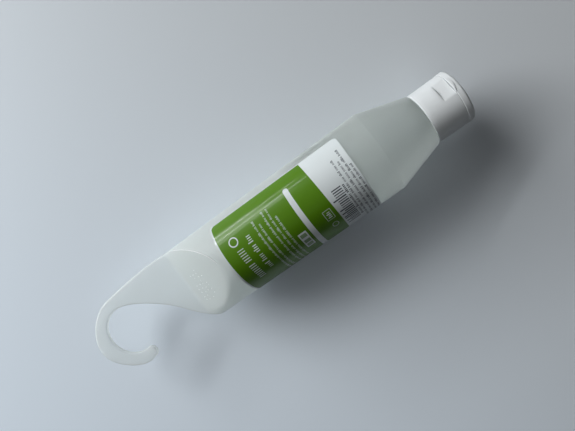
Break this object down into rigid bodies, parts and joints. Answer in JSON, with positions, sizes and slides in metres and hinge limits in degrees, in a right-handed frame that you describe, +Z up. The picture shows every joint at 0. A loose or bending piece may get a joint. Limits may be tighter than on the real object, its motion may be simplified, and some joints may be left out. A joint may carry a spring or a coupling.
{
  "type": "hanging gel bottle",
  "caption": "Round squeeze bottle of translucent plastic lying on its side, with a flat hook moulded on its wedge-shaped end and a flip-top cap on its neck.",
  "frame": {"origin": "on the surface the bottle lies on, under the middle of its length", "axes": "+X along the bottle's axis towards the cap, +Y across it towards the hook's spine, +Z up; the hook plate is level"},
  "size_m": [0.2639, 0.0506, 0.0502],
  "materials": {
    "bottle_plastic": "satin",
    "label_film": "gloss",
    "gel": "gloss",
    "cap_plastic": "satin"
  },
  "bodies": {
    "bottle": {"bottle": "bottle_plastic", "label": "label_film", "gel_fill": "gel"},
    "cap": {"cap_body": "cap_plastic", "hinge_film": "cap_plastic"},
    "lid": {"flip_lid": "cap_plastic"}
  },
  "joints": [
    {"name": "cap_lift", "type": "slide", "parent": "bottle", "child": "cap", "axis": [1, 0, 0], "range_m": [0, 0.03]},
    {"name": "lid_hinge", "type": "hinge", "parent": "cap", "child": "lid", "pos_m": [0.12789, -0.00804, 0.01163], "axis": [0, 0.8572, -0.515], "range_deg": [0, 105]}
  ]
}
